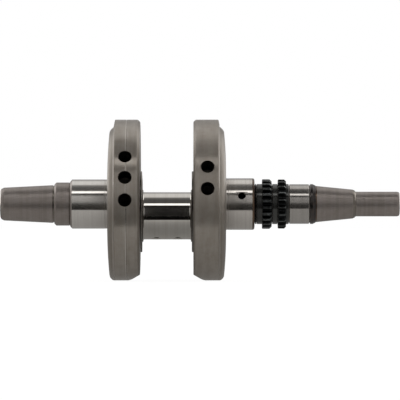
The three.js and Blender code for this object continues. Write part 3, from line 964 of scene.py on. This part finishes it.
def add_floor():
    """A pale floor under the webs. The camera sees it nearly white; reflections see a dim floor with a glow that is
    painted shade, darker close under the object and further behind it.
    """
    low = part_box("crankshaft_forging")[0].z
    size = 6
    corners = [(-size, -size), (size, -size), (size, size), (-size, size)]
    points = [Vector((x / MM, y / MM, low / MM - 0.1)) for x, y in corners]
    floor = object_from("floor", points, [(0, 1, 2, 3)])
    material = bpy.data.materials.new("pale_floor")
    material.use_nodes = True
    tree = material.node_tree
    tree.nodes.clear()
    diffuse = node(tree, "ShaderNodeBsdfDiffuse", {"Color": (0.1, 0.1, 0.1, 1)})
    glow = node(tree, "ShaderNodeEmission", {"Color": (1, 1, 1, 1), "Strength": 0.95})
    lit = node(tree, "ShaderNodeAddShader", {0: diffuse.outputs[0], 1: glow.outputs[0]})
    dim = node(tree, "ShaderNodeBsdfDiffuse", {"Color": (0.12, 0.12, 0.12, 1)})
    where = node(tree, "ShaderNodeTexCoord").outputs["Object"]
    away = node(tree, "ShaderNodeVectorMath", {0: where}, operation="LENGTH").outputs["Value"]
    behind = node(tree, "ShaderNodeSeparateXYZ", {0: where}).outputs[1]
    # painted shade: the glow seen in reflections fades close under the object and further behind it
    level = maths(tree, "MULTIPLY", remap(tree, away, 0.17, 0.4, 0.04, 0.12),
                  remap(tree, behind, 1, 0.45, -0.02, 0.12))
    even = node(tree, "ShaderNodeEmission", {"Color": (1, 0.985, 0.955, 1), "Strength": level})
    floor_in_reflections_painted_shade = node(tree, "ShaderNodeAddShader", {0: dim.outputs[0], 1: even.outputs[0]})
    rays = node(tree, "ShaderNodeLightPath").outputs["Is Camera Ray"]
    seen = node(tree, "ShaderNodeMixShader", {0: rays, 1: floor_in_reflections_painted_shade.outputs[0], 2: lit.outputs[0]})
    node(tree, "ShaderNodeOutputMaterial", {"Surface": seen.outputs[0]})
    floor.data.materials.append(material)
    return low


def add_flag(floor_height):
    """A black card lying in front of the object, which only reflections see."""
    near, far, near_half, far_half = -0.13, -4.0, 0.17, 1.6
    corners = [(-far_half, far), (far_half, far), (near_half, near), (-near_half, near)]
    height = floor_height / MM + 0.5
    flag = object_from("flag", [Vector((x / MM, y / MM, height)) for x, y in corners], [(0, 1, 2, 3)])
    material = bpy.data.materials.new("black_card")
    material.use_nodes = True
    tree = material.node_tree
    tree.nodes.clear()
    black = node(tree, "ShaderNodeBsdfDiffuse", {"Color": (0.004, 0.004, 0.004, 1)})
    node(tree, "ShaderNodeOutputMaterial", {"Surface": black.outputs[0]})
    flag.data.materials.append(material)
    flag.visible_camera = False
    flag.visible_diffuse = False
    flag.visible_shadow = False


def levels(tree, turn, stops):
    """Brightness over the height angle, given in degrees from the camera's side over the top."""
    ramp = node(tree, "ShaderNodeValToRGB", {0: turn})
    bar = ramp.color_ramp
    while len(bar.elements) < len(stops):
        bar.elements.new(0.5)
    for element, (degrees, level) in zip(bar.elements, stops):
        element.position = degrees / 180
        element.color = (level, level, level, 1)
    return ramp.outputs[0]


STRIP_STRENGTH = 2.1
FLANK_STRENGTH = 3.9


def add_sky():
    """Soft studio light as a sky: a strip light over the camera's side with a soft fill below it,
    a dark gap, a bright back and two side fills. It depends on the height angle round the shaft and on the side."""
    world = bpy.data.worlds.new("studio")
    bpy.context.scene.world = world
    world.use_nodes = True
    tree = world.node_tree
    tree.nodes.clear()
    direction = node(tree, "ShaderNodeTexCoord").outputs["Generated"]
    axes = node(tree, "ShaderNodeSeparateXYZ", {0: direction}).outputs
    height = maths(tree, "ARCTAN2", axes[2], maths(tree, "MULTIPLY", axes[1], -1))
    turn = maths(tree, "DIVIDE", height, math.pi)
    middle = levels(tree, turn, [
        (0, 0.004), (51.5, 0.01), (53.5, 1.0), (62, 1.0), (64.5, 0.05), (83, 0.05),
        (97, 0.1), (106, 0.42), (128, 0.44), (150, 0.2), (180, 0.17),
    ])
    front = levels(tree, turn, [(0, 0.05), (6, 0.45), (11, 0.7), (24, 0.88), (39, 1.0), (44, 0)])
    flanks = levels(tree, turn, [
        (0, 0.08), (44, 0.08), (47, 0.25), (54, 0.25), (57, 0.045),
        (84, 0.04), (97, 0.13), (107, 0.46), (140, 0.5), (180, 0.9),
    ])
    side = maths(tree, "ABSOLUTE", axes[0])
    beside = remap(tree, side, 0, 1.7, 0.14, 0.3)
    strength = maths(tree, "MULTIPLY", beside, remap(tree, side, 1, 0.5, 0.32, 0.5))
    strip = maths(tree, "MULTIPLY", middle, STRIP_STRENGTH)
    centre = maths(tree, "ADD", strip, maths(tree, "MULTIPLY", front, strength))
    spread = remap(tree, side, 0, 1, 0.35, 0.65)
    level = maths(tree, "ADD", maths(tree, "MULTIPLY", flanks, maths(tree, "MULTIPLY", spread, FLANK_STRENGTH)),
                  maths(tree, "MULTIPLY", centre, maths(tree, "SUBTRACT", 1.0, spread)))
    light = node(tree, "ShaderNodeBackground", {"Color": (1, 0.99, 0.975, 1), "Strength": level})
    white = node(tree, "ShaderNodeBackground", {"Color": (1, 1, 1, 1), "Strength": 1.0})
    rays = node(tree, "ShaderNodeLightPath").outputs["Is Camera Ray"]
    seen = node(tree, "ShaderNodeMixShader", {0: rays, 1: light.outputs[0], 2: white.outputs[0]})
    node(tree, "ShaderNodeOutputWorld", {"Surface": seen.outputs[0]})
    bpy.context.scene.view_settings.view_transform = "Standard"


# ---------------------------------------------------------------- assembly

forging()
dress(sleeve("seat_ring", HUB_RADIUS, 0.15, 0.6), "seat_ring", "black_oxide", FINISH["teeth"])
sprocket("timing_sprocket", 79.9, 87.9, (0.4, 1.8), teeth=23, phase=4, tip=0.2, flank=0.06, root_curve=0.6)
dress(sleeve("sprocket_spacer", HUB_RADIUS, 0.3), "sprocket_spacer", "black_oxide", FINISH["black"])
sprocket("pump_sprocket", 93.1, 99.9, (0.6, 1.5), teeth=20, phase=9.5, tip=0.1, flank=0.12, root_curve=0.6)
race()
dress(shrink_collar(), "shrink_collar", "tinted_steel", FINISH["collar"])
dress(half_moon("flywheel_key_look", 6.5, 4, KEY_TOP, 0.25), "flywheel_key", "plug_steel", FINISH["plug"])
plugs()
add_flag(add_floor())
add_sky()
